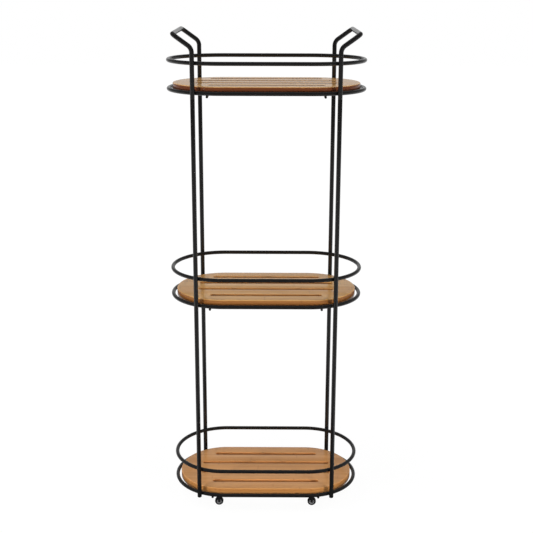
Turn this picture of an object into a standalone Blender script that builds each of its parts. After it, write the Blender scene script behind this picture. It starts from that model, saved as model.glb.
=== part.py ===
"""Three-tier bar cart on four small swivel casters.

Each tier is a pair of closed rod rings, a lower tray ring and a guard ring above it, with two thin
cross rods under the tray ring and a slotted bamboo board lying on them. Four tube posts stand against
the outside of the rings. The top section of each pair of posts is one bent tube that flares outwards
into a handle, and the sections below join it on steel spigots. Metres, +Z up, the floor at z = 0,
the front at -Y.
"""

import math

import bmesh
import bpy
from mathutils import Matrix, Vector

TOUCH_GAP = 0.0003

# Rod rings: a straight front and back with half-round ends.
RING_HALF_LENGTH = 0.221
RING_HALF_DEPTH = 0.121
RING_ROD_RADIUS = 0.0044
RING_END_CENTRE = RING_HALF_LENGTH - RING_HALF_DEPTH
TRAY_RING_HEIGHT = 0.0415
LOWER_PITCH = 0.479
UPPER_PITCH = 0.4828
GUARD_RISE = 0.0635

# Cross rods under each tray ring.
CROSS_ROD_RADIUS = 0.00275
CROSS_ROD_X = 0.128
CROSS_ROD_HALF_LENGTH = 0.117
CROSS_ROD_DROP = RING_ROD_RADIUS + TOUCH_GAP + CROSS_ROD_RADIUS

# Bamboo boards, with four through slots.
BOARD_THICKNESS = 0.018
BOARD_GAP = 0.0046
BOARD_EDGE_ROUND = 0.0025
SLOT_WIDTH = 0.012
SLOT_PITCH = 0.048
LONG_SLOT = 0.320
SHORT_SLOT = 0.260

# Tube posts, touching the rings on their half-round ends.
POST_RADIUS = 0.0051
POST_WALL = 0.001
POST_ANGLE = math.radians(63.1)
POST_REACH = RING_HALF_DEPTH + RING_ROD_RADIUS + TOUCH_GAP + POST_RADIUS
POST_X = RING_END_CENTRE + POST_REACH * math.cos(POST_ANGLE)
POST_Y = POST_REACH * math.sin(POST_ANGLE)
POST_FOOT_DROP = 0.0047
SEAM_DROP = 0.012

# Handles: each arm leaves its post outwards and upwards and meets a crossbar.
HANDLE_ELBOW_RISE = 0.0957
HANDLE_REACH = 0.0411
HANDLE_SLOPE = math.radians(35.6)
HANDLE_ELBOW_RADIUS = 0.019
HANDLE_CORNER_RADIUS = 0.012

# Spigots inside the post seams, and the domed plugs in the post feet.
SPIGOT_RADIUS = 0.0038
SPIGOT_LENGTH = 0.040
SPIGOT_CHAMFER = 0.0008
PLUG_DOME = 0.0025
PLUG_STEM_RADIUS = 0.0038
PLUG_STEM_LENGTH = 0.009

# Casters, listed upwards from the floor. The wheel trails inwards from its swivel.
CASTER_Y = 0.090
CASTER_TRAIL = 0.0147
WHEEL_RADIUS = 0.0102
WHEEL_WIDTH = 0.008
WHEEL_BORE_RADIUS = 0.0016
WHEEL_HUB_RADIUS = 0.0032
WHEEL_WEB_RADIUS = 0.0058
WHEEL_WEB_DEPTH = 0.001
WHEEL_EDGE = 0.0014
AXLE_RADIUS = 0.00125
AXLE_HEAD_RADIUS = 0.0021
AXLE_HEAD = 0.0008
AXLE_HEAD_FLAT = 0.6
FORK_SHEET = 0.0012
FORK_SIDE_GAP = 0.0006
FORK_HALF_WIDTH = WHEEL_WIDTH / 2 + FORK_SIDE_GAP + FORK_SHEET
FORK_LEG_TOP = 0.0031
FORK_LEG_END = 0.0026
CROWN_TOP = 0.0248
KING_PIN_RADIUS = 0.003
KING_PIN_TOP = 0.0295
KING_PIN_HEAD_RADIUS = 0.0045
KING_PIN_HEAD = 0.0025
KING_PIN_HEAD_SIDE = 0.7
KING_PIN_HEAD_TIP = 0.75
SOCKET_RADIUS = 0.0055
SOCKET_BORE_RADIUS = 0.0033
SOCKET_BOTTOM = 0.0252
SOCKET_CHAMFER = 0.0008
RUNNING_GAP = 0.0003

# Facets, and the distances and angles under which neighbouring ones are joined.
RING_END_STEPS = 16
RING_SIDES = 8
TUBE_SIDES = 10
ELBOW_STEPS = 4
TURN_STEPS = 12
WHEEL_STEPS = 20
SLOT_END_STEPS = 6
FORK_END_STEPS = 6
HOLE_STEPS = 16
DOME_STEPS = 4
MERGE_DISTANCE = 0.00001
WELD_DISTANCE = 0.000001
FLAT_ANGLE = 0.001
SMOOTH_ANGLE = math.radians(40)

TRAY_LEVELS = {
    "bottom": TRAY_RING_HEIGHT,
    "middle": TRAY_RING_HEIGHT + LOWER_PITCH,
    "top": TRAY_RING_HEIGHT + LOWER_PITCH + UPPER_PITCH,
}
CORNERS = {
    "front_left": (-1, -1),
    "front_right": (1, -1),
    "rear_left": (-1, 1),
    "rear_right": (1, 1),
}


def clear_scene():
    for item in list(bpy.data.objects):
        bpy.data.objects.remove(item, do_unlink=True)


def new_collection(name):
    collection = bpy.data.collections.new(name)
    bpy.context.scene.collection.children.link(collection)
    return collection


def new_material(name, colour, roughness, metallic=0.0):
    material = bpy.data.materials.new(name)
    material.use_nodes = True
    shader = material.node_tree.nodes["Principled BSDF"]
    shader.inputs["Base Color"].default_value = (*colour, 1.0)
    shader.inputs["Roughness"].default_value = roughness
    shader.inputs["Metallic"].default_value = metallic
    return material


def new_object(name, data, collection, material=None):
    item = bpy.data.objects.new(name, data)
    collection.objects.link(item)
    if material is not None:
        data.materials.clear()
        data.materials.append(material)
    return item


def arc(centre, radius, start, end, steps):
    """Points on a circle in the plane, both ends included, angles in radians."""
    angles = [start + (end - start) * i / steps for i in range(steps + 1)]
    return [(centre[0] + radius * math.cos(a), centre[1] + radius * math.sin(a)) for a in angles]


def stadium(half_length, radius, steps):
    """A closed outline with half-round ends at +X and -X, counterclockwise."""
    end = half_length - radius
    right = arc((end, 0), radius, -math.pi / 2, math.pi / 2, steps)
    left = arc((-end, 0), radius, math.pi / 2, 3 * math.pi / 2, steps)
    return right + left


def rounded_path(points, radii, steps):
    """The polyline through points with each inner corner replaced by an arc of its radius."""
    path = [Vector(points[0])]
    for before, corner, after, radius in zip(points, points[1:], points[2:], radii):
        corner = Vector(corner)
        back = (Vector(before) - corner).normalized()
        ahead = (Vector(after) - corner).normalized()
        half = back.angle(ahead) / 2
        centre = corner + (back + ahead).normalized() * radius / math.sin(half)
        first = corner + back * radius / math.tan(half) - centre
        turn = math.pi - 2 * half
        axis = back.cross(ahead).normalized()
        for i in range(steps + 1):
            path.append(centre + Matrix.Rotation(-turn * i / steps, 3, axis) @ first)
    path.append(Vector(points[-1]))
    return path


def poly_curve(name, points, cyclic, flat=False):
    """A curve datablock with one straight-segment spline."""
    curve = bpy.data.curves.new(name, "CURVE")
    curve.dimensions = "2D" if flat else "3D"
    spline = curve.splines.new("POLY")
    spline.points.add(len(points) - 1)
    for target, point in zip(spline.points, points):
        target.co = (point[0], point[1], 0.0 if flat else point[2], 1.0)
    spline.use_cyclic_u = cyclic
    return curve


def rod_curve(name, points, radius, sides, cyclic=False, capped=True):
    curve = poly_curve(name, points, cyclic)
    curve.bevel_depth = radius
    curve.bevel_resolution = (sides - 4) // 2
    curve.use_fill_caps = capped and not cyclic
    return curve


def plate_curve(name, outline, thickness):
    curve = poly_curve(name, outline, cyclic=True, flat=True)
    curve.fill_mode = "BOTH"
    curve.extrude = thickness / 2
    return curve


def settled_mesh(item):
    """The evaluated mesh of an object, in world space and welded, and the object removed."""
    bpy.context.view_layer.update()
    graph = bpy.context.evaluated_depsgraph_get()
    mesh = bpy.data.meshes.new_from_object(item.evaluated_get(graph))
    mesh.transform(item.matrix_world)
    work = bmesh.new()
    work.from_mesh(mesh)
    bmesh.ops.remove_doubles(work, verts=work.verts, dist=WELD_DISTANCE)
    bmesh.ops.dissolve_limit(work, angle_limit=FLAT_ANGLE, verts=work.verts, edges=work.edges)
    bmesh.ops.recalc_face_normals(work, faces=work.faces)
    work.to_mesh(mesh)
    work.free()
    bpy.data.objects.remove(item, do_unlink=True)
    return mesh


def smooth_rounds(mesh):
    mesh.shade_smooth()
    mesh.set_sharp_from_angle(angle=SMOOTH_ANGLE)


def rod(name, points, radius, material, cyclic=False, sides=RING_SIDES):
    """A solid bent or straight rod as its own object."""
    return new_object(name, rod_curve(name, points, radius, sides, cyclic), PARTS, material)


def tube(name, points, material):
    """A hollow post tube, open at both ends."""
    skin = new_object(name, rod_curve(name, points, POST_RADIUS, TUBE_SIDES, capped=False), HELPERS)
    mesh = settled_mesh(skin)
    smooth_rounds(mesh)
    item = new_object(name, mesh, PARTS, material)
    wall = item.modifiers.new("wall", "SOLIDIFY")
    wall.thickness = POST_WALL
    wall.offset = -1
    wall.use_even_offset = True
    return item


def turned(name, profile, material, steps=TURN_STEPS, closed=False, collection=None):
    """A piece turned about its own Z axis from (radius, height) points, outer side top to bottom."""
    count = len(profile)
    edges = [(i, i + 1) for i in range(count - 1)]
    if closed:
        edges.append((count - 1, 0))
    mesh = bpy.data.meshes.new(name)
    mesh.from_pydata([(radius, 0.0, height) for radius, height in profile], edges, [])
    item = new_object(name, mesh, collection or PARTS, material)
    screw = item.modifiers.new("turn", "SCREW")
    screw.steps = steps
    screw.render_steps = steps
    screw.use_merge_vertices = True
    screw.merge_threshold = MERGE_DISTANCE
    screw.use_smooth_shade = True
    return item


def cut(item, cutter, operation="DIFFERENCE"):
    boolean = item.modifiers.new(cutter.name, "BOOLEAN")
    boolean.operation = operation
    boolean.object = cutter
    boolean.solver = "EXACT"


def helper(item):
    item.hide_render = True
    item.display_type = "WIRE"
    return item


def drill(name, radius, start, end):
    """A round cutter from start to end."""
    start, end = Vector(start), Vector(end)
    length = (end - start).length
    work = bmesh.new()
    bmesh.ops.create_cone(
        work, cap_ends=True, segments=HOLE_STEPS, radius1=radius, radius2=radius, depth=length
    )
    mesh = bpy.data.meshes.new(name)
    work.to_mesh(mesh)
    work.free()
    item = helper(new_object(name, mesh, HELPERS))
    item.location = (start + end) / 2
    item.rotation_mode = "QUATERNION"
    item.rotation_quaternion = (end - start).to_track_quat("Z", "Y")
    return item


def empty(name, location, parent=None):
    item = new_object(name, None, PARTS)
    item.empty_display_size = 0.01
    item.location = location
    item.parent = parent
    return item


def make_rings():
    outline = stadium(RING_HALF_LENGTH, RING_HALF_DEPTH, RING_END_STEPS)
    for tier, level in TRAY_LEVELS.items():
        for kind, height in (("tray_ring", level), ("guard_ring", level + GUARD_RISE)):
            loop = [(x, y, height) for x, y in outline]
            rod(f"{tier}_{kind}", loop, RING_ROD_RADIUS, BLACK, cyclic=True)


def make_cross_rods():
    for tier, level in TRAY_LEVELS.items():
        height = level - CROSS_ROD_DROP
        for side, x in (("left", -CROSS_ROD_X), ("right", CROSS_ROD_X)):
            ends = [(x, -CROSS_ROD_HALF_LENGTH, height), (x, CROSS_ROD_HALF_LENGTH, height)]
            rod(f"{tier}_cross_rod_{side}", ends, CROSS_ROD_RADIUS, BLACK)


def slot_cutters():
    """One cutter for each row of slots, tall enough to cross all three boards."""
    height = TRAY_LEVELS["top"] + 2 * BOARD_THICKNESS
    cutters = []
    for row in (-1.5, -0.5, 0.5, 1.5):
        length = LONG_SLOT if abs(row) < 1 else SHORT_SLOT
        outline = stadium(length / 2, SLOT_WIDTH / 2, SLOT_END_STEPS)
        name = f"slot_cutter_{len(cutters)}"
        blank = new_object(name, plate_curve(name, outline, height), HELPERS)
        blank.location = (0, row * SLOT_PITCH, height / 2)
        cutters.append(helper(new_object(name, settled_mesh(blank), HELPERS)))
    return cutters


def make_boards():
    clearance = RING_ROD_RADIUS + BOARD_GAP
    outline = stadium(
        RING_HALF_LENGTH - clearance, RING_HALF_DEPTH - clearance, RING_END_STEPS
    )
    cutters = slot_cutters()
    for tier, level in TRAY_LEVELS.items():
        name = f"{tier}_board"
        blank = new_object(name, plate_curve(name, outline, BOARD_THICKNESS), HELPERS)
        board = new_object(name, settled_mesh(blank), PARTS, BAMBOO)
        board.location = (0, 0, level - RING_ROD_RADIUS + BOARD_THICKNESS / 2)
        edge = board.modifiers.new("rounded_edge", "BEVEL")
        edge.width = BOARD_EDGE_ROUND
        edge.segments = 2
        edge.limit_method = "ANGLE"
        for cutter in cutters:
            cut(board, cutter)


def make_handle_frames():
    """One bent tube on each side: up a post, out along an arm, across, and back down."""
    foot = TRAY_LEVELS["top"] - SEAM_DROP
    elbow = TRAY_LEVELS["top"] + HANDLE_ELBOW_RISE
    bar = elbow + HANDLE_REACH * math.tan(HANDLE_SLOPE)
    radii = (HANDLE_ELBOW_RADIUS, HANDLE_CORNER_RADIUS, HANDLE_CORNER_RADIUS, HANDLE_ELBOW_RADIUS)
    for side, sign in (("left", -1), ("right", 1)):
        post_x = sign * POST_X
        bar_x = sign * (POST_X + HANDLE_REACH)
        corners = [
            (post_x, -POST_Y, foot),
            (post_x, -POST_Y, elbow),
            (bar_x, -POST_Y, bar),
            (bar_x, POST_Y, bar),
            (post_x, POST_Y, elbow),
            (post_x, POST_Y, foot),
        ]
        tube(f"{side}_handle_frame", rounded_path(corners, radii, ELBOW_STEPS), BLACK)


def make_posts():
    """Two straight sections for each post, below the handle frames, with a spigot in each seam."""
    seams = {
        "upper": TRAY_LEVELS["top"] - SEAM_DROP,
        "lower": TRAY_LEVELS["middle"] - SEAM_DROP,
    }
    foot = TRAY_LEVELS["bottom"] - POST_FOOT_DROP
    spans = {
        "middle_post": (seams["upper"] - TOUCH_GAP, seams["lower"]),
        "lower_post": (seams["lower"] - TOUCH_GAP, foot),
    }
    for corner, (side_x, side_y) in CORNERS.items():
        x, y = side_x * POST_X, side_y * POST_Y
        for kind, (high, low) in spans.items():
            tube(f"{kind}_{corner}", [(x, y, high), (x, y, low)], BLACK)
        for kind, seam in seams.items():
            make_spigot(f"{kind}_spigot_{corner}", (x, y, seam))
        make_plug(f"foot_plug_{corner}", (x, y, foot))


def make_spigot(name, location):
    half = SPIGOT_LENGTH / 2
    tip = SPIGOT_RADIUS - SPIGOT_CHAMFER
    profile = [
        (0, half),
        (tip, half),
        (SPIGOT_RADIUS, half - SPIGOT_CHAMFER),
        (SPIGOT_RADIUS, SPIGOT_CHAMFER - half),
        (tip, -half),
        (0, -half),
    ]
    turned(name, profile, STEEL).location = location


def make_plug(name, location):
    """A domed plug: its stem sits in the tube and its dome closes the tube's foot."""
    dome_top = -TOUCH_GAP
    dome = [
        (POST_RADIUS * math.cos(angle), dome_top - PLUG_DOME * math.sin(angle))
        for angle in (math.pi / 2 * step / DOME_STEPS for step in range(DOME_STEPS))
    ]
    profile = [
        (0, PLUG_STEM_LENGTH),
        (PLUG_STEM_RADIUS, PLUG_STEM_LENGTH),
        (PLUG_STEM_RADIUS, dome_top),
        *dome,
        (0, dome_top - PLUG_DOME),
    ]
    turned(name, profile, PLASTIC).location = location


def wheel_profile():
    """Half of the wheel's section, as a closed loop: tread, recessed web, hub and bore."""
    half = WHEEL_WIDTH / 2
    upper = [
        (WHEEL_BORE_RADIUS, half),
        (WHEEL_HUB_RADIUS, half),
        (WHEEL_WEB_RADIUS, half - WHEEL_WEB_DEPTH),
        (WHEEL_RADIUS - WHEEL_EDGE, half),
        (WHEEL_RADIUS, half - WHEEL_EDGE),
    ]
    lower = [(radius, -height) for radius, height in reversed(upper)]
    return upper + lower


def axle_profile():
    """The axle rivet's section, from head to head."""
    inner = FORK_HALF_WIDTH + RUNNING_GAP
    outer = inner + AXLE_HEAD
    return [
        (0, outer),
        (AXLE_HEAD_RADIUS * AXLE_HEAD_FLAT, outer),
        (AXLE_HEAD_RADIUS, outer - AXLE_HEAD / 2),
        (AXLE_HEAD_RADIUS, inner),
        (AXLE_RADIUS, inner),
        (AXLE_RADIUS, -inner),
        (AXLE_HEAD_RADIUS, -inner),
        (AXLE_HEAD_RADIUS, AXLE_HEAD / 2 - outer),
        (AXLE_HEAD_RADIUS * AXLE_HEAD_FLAT, -outer),
        (0, -outer),
    ]


def king_pin_profile():
    """The king pin's section: a plain shank up into the socket, and a head under the crown."""
    head_top = CROWN_TOP - FORK_SHEET - RUNNING_GAP
    return [
        (0, KING_PIN_TOP),
        (KING_PIN_RADIUS, KING_PIN_TOP),
        (KING_PIN_RADIUS, head_top),
        (KING_PIN_HEAD_RADIUS, head_top),
        (KING_PIN_HEAD_RADIUS, head_top - KING_PIN_HEAD * KING_PIN_HEAD_SIDE),
        (KING_PIN_HEAD_RADIUS * KING_PIN_HEAD_TIP, head_top - KING_PIN_HEAD),
        (0, head_top - KING_PIN_HEAD),
    ]


def socket_profile():
    """The socket's section: a round boss under the cross rod with a blind bore from below."""
    top = TRAY_RING_HEIGHT - CROSS_ROD_DROP - CROSS_ROD_RADIUS - TOUCH_GAP
    bore_top = KING_PIN_TOP + TOUCH_GAP
    return [
        (0, top),
        (SOCKET_RADIUS - SOCKET_CHAMFER, top),
        (SOCKET_RADIUS, top - SOCKET_CHAMFER),
        (SOCKET_RADIUS, SOCKET_BOTTOM),
        (SOCKET_BORE_RADIUS, SOCKET_BOTTOM),
        (SOCKET_BORE_RADIUS, bore_top),
        (0, bore_top),
    ]


def fork_mesh():
    """The fork about its swivel axis: a crown plate with two tapering legs over the wheel."""
    end = arc((0, 0), FORK_HALF_WIDTH, -math.pi / 2, math.pi / 2, FORK_END_STEPS)
    inner_x = -CASTER_TRAIL - FORK_LEG_TOP
    outline = [(inner_x, -FORK_HALF_WIDTH), *end, (inner_x, FORK_HALF_WIDTH)]
    blank = new_object("crown", plate_curve("crown", outline, FORK_SHEET), HELPERS)
    blank.location.z = CROWN_TOP - FORK_SHEET / 2
    crown = new_object("fork", settled_mesh(blank), HELPERS)
    rise = CROWN_TOP - FORK_SHEET / 2 - WHEEL_RADIUS
    leg = [
        (FORK_LEG_TOP, rise),
        (-FORK_LEG_TOP, rise),
        *arc((0, 0), FORK_LEG_END, math.pi, 2 * math.pi, FORK_END_STEPS),
    ]
    helpers = []
    for side in (-1, 1):
        name = f"leg_{side}"
        blank = new_object(name, plate_curve(name, leg, FORK_SHEET), HELPERS)
        blank.rotation_euler.x = math.pi / 2
        blank.location = (-CASTER_TRAIL, side * (FORK_HALF_WIDTH - FORK_SHEET / 2), WHEEL_RADIUS)
        helpers.append(new_object(name, settled_mesh(blank), HELPERS))
        cut(crown, helpers[-1], "UNION")
    reach = 2 * FORK_HALF_WIDTH
    axle = Vector((-CASTER_TRAIL, 0, WHEEL_RADIUS))
    helpers.append(
        drill("axle_hole", WHEEL_BORE_RADIUS, axle - Vector((0, reach, 0)), axle + Vector((0, reach, 0)))
    )
    helpers.append(drill("pin_hole", SOCKET_BORE_RADIUS, (0, 0, WHEEL_RADIUS), (0, 0, SOCKET_BOTTOM)))
    for cutter in helpers[-2:]:
        cut(crown, cutter)
    mesh = settled_mesh(crown)
    for item in helpers:
        bpy.data.objects.remove(item, do_unlink=True)
    return mesh


def make_casters():
    fork_shape = fork_mesh()
    for corner, (side_x, side_y) in CORNERS.items():
        swivel_point = (side_x * CROSS_ROD_X, side_y * CASTER_Y, 0)
        turned(f"caster_socket_{corner}", socket_profile(), BLACK).location = swivel_point
        turned(f"king_pin_{corner}", king_pin_profile(), STEEL).location = swivel_point
        swivel = empty(f"swivel_{corner}", swivel_point)
        swivel.rotation_euler.z = 0 if side_x > 0 else math.pi
        fork = new_object(f"caster_fork_{corner}", fork_shape, PARTS, CASTER_BLACK)
        fork.parent = swivel
        hub = empty(f"hub_{corner}", (-CASTER_TRAIL, 0, WHEEL_RADIUS), swivel)
        hub.rotation_euler.x = math.pi / 2
        axle = turned(f"caster_axle_{corner}", axle_profile(), STEEL)
        axle.parent = hub
        wheel = turned(
            f"caster_wheel_{corner}", wheel_profile(), RUBBER, WHEEL_STEPS, closed=True
        )
        wheel.parent = hub


clear_scene()
PARTS = new_collection("bar_cart")
HELPERS = new_collection("cutters")
BLACK = new_material("black_coated_steel", (0.012, 0.012, 0.013), 0.38, 0.2)
CASTER_BLACK = new_material("black_caster_steel", (0.02, 0.02, 0.021), 0.45, 0.3)
STEEL = new_material("zinc_plated_steel", (0.45, 0.45, 0.46), 0.35, 1.0)
PLASTIC = new_material("black_plastic", (0.015, 0.015, 0.016), 0.5)
RUBBER = new_material("black_wheel_plastic", (0.018, 0.018, 0.019), 0.42)
BAMBOO = new_material("lacquered_bamboo", (0.46, 0.27, 0.13), 0.32)
make_rings()
make_cross_rods()
make_boards()
make_handle_frames()
make_posts()
make_casters()
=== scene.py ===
"""The looks of a three-tier bar cart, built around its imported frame.

Every rod, tube, board and caster part of the frame gets a smooth, finely shaped piece in the same
place, with the weld beads that hold the frame together, and procedural materials: satin black coated
steel, lacquered laminated bamboo, zinc-plated pins and moulded plastic. Metres, +Z up, front at -Y.
"""

import math

import bmesh
import bpy
from mathutils import Matrix, Vector, noise


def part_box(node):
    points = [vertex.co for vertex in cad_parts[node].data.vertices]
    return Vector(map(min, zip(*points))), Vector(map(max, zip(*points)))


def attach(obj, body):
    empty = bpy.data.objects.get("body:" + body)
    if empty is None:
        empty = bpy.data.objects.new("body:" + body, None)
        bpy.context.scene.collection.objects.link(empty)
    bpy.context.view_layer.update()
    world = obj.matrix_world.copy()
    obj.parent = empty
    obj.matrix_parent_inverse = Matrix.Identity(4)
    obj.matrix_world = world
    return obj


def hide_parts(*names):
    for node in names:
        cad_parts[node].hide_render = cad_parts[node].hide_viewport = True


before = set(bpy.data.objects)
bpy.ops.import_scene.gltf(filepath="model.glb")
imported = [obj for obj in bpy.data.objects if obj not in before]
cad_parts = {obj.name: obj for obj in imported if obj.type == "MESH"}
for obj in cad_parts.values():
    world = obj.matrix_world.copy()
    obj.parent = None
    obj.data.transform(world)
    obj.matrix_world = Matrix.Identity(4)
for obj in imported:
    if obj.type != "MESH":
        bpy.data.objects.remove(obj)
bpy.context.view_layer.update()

TIERS = ("bottom", "middle", "top")
CORNERS = ("front_left", "front_right", "rear_left", "rear_right")
SIDES = ("left", "right")
ALONG_Y, ALONG_Z = 1, 2
QUARTER = math.pi / 2
MM = 0.001

# Steps round circles and bends, and the angle in degrees past which an edge stays sharp.
ROD_SIDES = 28
BEND_STEPS = 48
ELBOW_STEPS = 16
TURNED_STEPS = 72
EASE_STEPS = 4
DOME_STEPS = 8
SHARP = 35
TURNED_SHARP = 30

# The flats left in the middle: of a dome, as a share of its quarter turn, and of a turned end.
DOME_TIP = 0.02
TIP_RADIUS = 0.05 * MM

# The length of a tangent's cross product with +Z below which it counts as upright.
NEARLY_UPRIGHT = 0.1


# ---------------------------------------------------------------- measures taken from the frame


def middle(node):
    low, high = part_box(node)
    return (low + high) / 2


def half_size(node):
    low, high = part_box(node)
    return (high - low) / 2


def middle_line(node, axis):
    """The ends of the line through a node's middle along an axis, lower end first."""
    ends = []
    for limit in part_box(node):
        end = middle(node)
        end[axis] = limit[axis]
        ends.append(end)
    return ends


RING = half_size("top_tray_ring")
ROD_RADIUS = RING.z
RING_X = RING.x - ROD_RADIUS
RING_Y = RING.y - ROD_RADIUS
RING_END = RING_X - RING_Y
POST_RADIUS = half_size("lower_post_front_left").x
CROSS_RADIUS = half_size("top_cross_rod_left").x
BOARD = half_size("top_board")


# ---------------------------------------------------------------- mesh building


def arc(centre, radius, start, end, steps):
    angles = [start + (end - start) * i / steps for i in range(steps + 1)]
    return [(centre[0] + radius * math.cos(a), centre[1] + radius * math.sin(a)) for a in angles]


def stadium(half_length, radius, steps):
    """A closed outline with half-round ends at +X and -X, counterclockwise."""
    end = half_length - radius
    right = arc((end, 0), radius, -QUARTER, QUARTER, steps)
    left = arc((-end, 0), radius, QUARTER, 3 * QUARTER, steps)
    return right + left


def rounded_path(points, radii):
    """The polyline through points with each inner corner replaced by an arc of its radius."""
    path = [Vector(points[0])]
    for before, corner, after, radius in zip(points, points[1:], points[2:], radii):
        corner = Vector(corner)
        back = (Vector(before) - corner).normalized()
        ahead = (Vector(after) - corner).normalized()
        half = back.angle(ahead) / 2
        centre = corner + (back + ahead).normalized() * radius / math.sin(half)
        first = corner + back * radius / math.tan(half) - centre
        axis = back.cross(ahead).normalized()
        for i in range(ELBOW_STEPS + 1):
            turn = (math.pi - 2 * half) * i / ELBOW_STEPS
            path.append(centre + Matrix.Rotation(-turn, 3, axis) @ first)
    path.append(Vector(points[-1]))
    return path


def skin(name, rings, wrap=False, sharp=SHARP):
    """A closed mesh over a row of point loops: wrap joins the last to the first, or both are capped."""
    sides = len(rings[0])
    rows = len(rings)
    points = [point for ring in rings for point in ring]
    faces = []
    for row in range(rows if wrap else rows - 1):
        a, b = row * sides, (row + 1) % rows * sides
        for i in range(sides):
            j = (i + 1) % sides
            faces.append((a + i, a + j, b + j, b + i))
    if not wrap:
        faces.append(tuple(reversed(range(sides))))
        faces.append(tuple(range((rows - 1) * sides, rows * sides)))
    mesh = bpy.data.meshes.new(name)
    mesh.from_pydata(points, [], faces)
    return settle(mesh, sharp)


def settle(mesh, sharp=SHARP):
    """The mesh with its faces turned outwards, shaded smooth except over sharp edges."""
    work = bmesh.new()
    work.from_mesh(mesh)
    bmesh.ops.recalc_face_normals(work, faces=work.faces)
    work.to_mesh(mesh)
    work.free()
    mesh.shade_smooth()
    mesh.set_sharp_from_angle(angle=math.radians(sharp))
    return mesh


def crossways(path, closed=False):
    """For each point of a path, two directions across it that don't twist."""
    count = len(path)
    tangents = []
    for i in range(count):
        ahead = path[(i + 1) % count] if closed or i < count - 1 else path[i]
        behind = path[i - 1] if closed or i > 0 else path[i]
        tangents.append((ahead - behind).normalized())
    side = Vector((0, 0, 1)).cross(tangents[0])
    if side.length < NEARLY_UPRIGHT:
        side = Vector((0, 1, 0)).cross(tangents[0])
    side.normalize()
    directions = []
    for i, tangent in enumerate(tangents):
        if i:
            side = tangents[i - 1].rotation_difference(tangent) @ side
        side = (side - tangent * side.dot(tangent)).normalized()
        directions.append((side, tangent.cross(side)))
    return directions


def loop_about(centre, across, up, radius, sides):
    turns = (2 * math.pi * i / sides for i in range(sides))
    return [centre + (across * math.cos(t) + up * math.sin(t)) * radius for t in turns]


def swept(stops, closed=False, sides=ROD_SIDES):
    """A loop of points about each (point, radius) stop of a path."""
    directions = crossways([point for point, _ in stops], closed)
    return [
        loop_about(point, side, up, radius, sides)
        for (point, radius), (side, up) in zip(stops, directions)
    ]


def eased_ends(path, radius, ease):
    """The (point, radius) stops along a path whose ends are rounded over."""
    start = (path[1] - path[0]).normalized()
    finish = (path[-2] - path[-1]).normalized()
    turns = [QUARTER * i / EASE_STEPS for i in range(EASE_STEPS + 1)]
    inset = [(ease * (1 - math.sin(turn)), radius - ease * (1 - math.cos(turn))) for turn in turns]
    head = [(path[0] + start * depth, width) for depth, width in reversed(inset)]
    tail = [(path[-1] + finish * depth, width) for depth, width in inset]
    body = [(point, radius) for point in path[1:-1]]
    return head + body + tail


def turned(name, profile, centre, axis="Z", steps=TURNED_STEPS, wrap=False):
    """A turned mesh from (radius, height) points about an axis through the centre."""
    directions = {
        "Z": (Vector((1, 0, 0)), Vector((0, 1, 0)), Vector((0, 0, 1))),
        "Y": (Vector((0, 0, 1)), Vector((1, 0, 0)), Vector((0, 1, 0))),
    }
    across, up, along = directions[axis]
    rings = [
        loop_about(centre + along * height, across, up, radius, steps)
        for radius, height in profile
    ]
    return skin(name, rings, wrap=wrap, sharp=TURNED_SHARP)


def dome(radius, rise, start_height=0.0):
    """Profile points over a low dome, from just inside its rim to a small flat at the top."""
    turns = [QUARTER * i / DOME_STEPS * (1 - DOME_TIP) for i in range(1, DOME_STEPS + 1)]
    return [(radius * math.cos(t), start_height + rise * math.sin(t)) for t in turns]


def joined(name, meshes):
    """One mesh that holds several closed ones."""
    work = bmesh.new()
    for mesh in meshes:
        work.from_mesh(mesh)
        bpy.data.meshes.remove(mesh)
    whole = bpy.data.meshes.new(name)
    work.to_mesh(whole)
    work.free()
    return settle(whole)


def placed(name, data):
    """A new object in the scene."""
    item = bpy.data.objects.new(name, data)
    bpy.context.scene.collection.objects.link(item)
    return item


def piece(name, mesh, material, body, slot, *nodes):
    """A visible piece that rides on a body and stands for its nodes, if any. Its slot is not used."""
    item = placed(name, mesh)
    mesh.materials.append(material)
    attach(item, body)
    if nodes:
        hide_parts(*nodes)


# ---------------------------------------------------------------- node trees


def rgb(red, green, blue):
    return (red, green, blue, 1.0)


WHITE = rgb(1, 1, 1)


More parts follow.
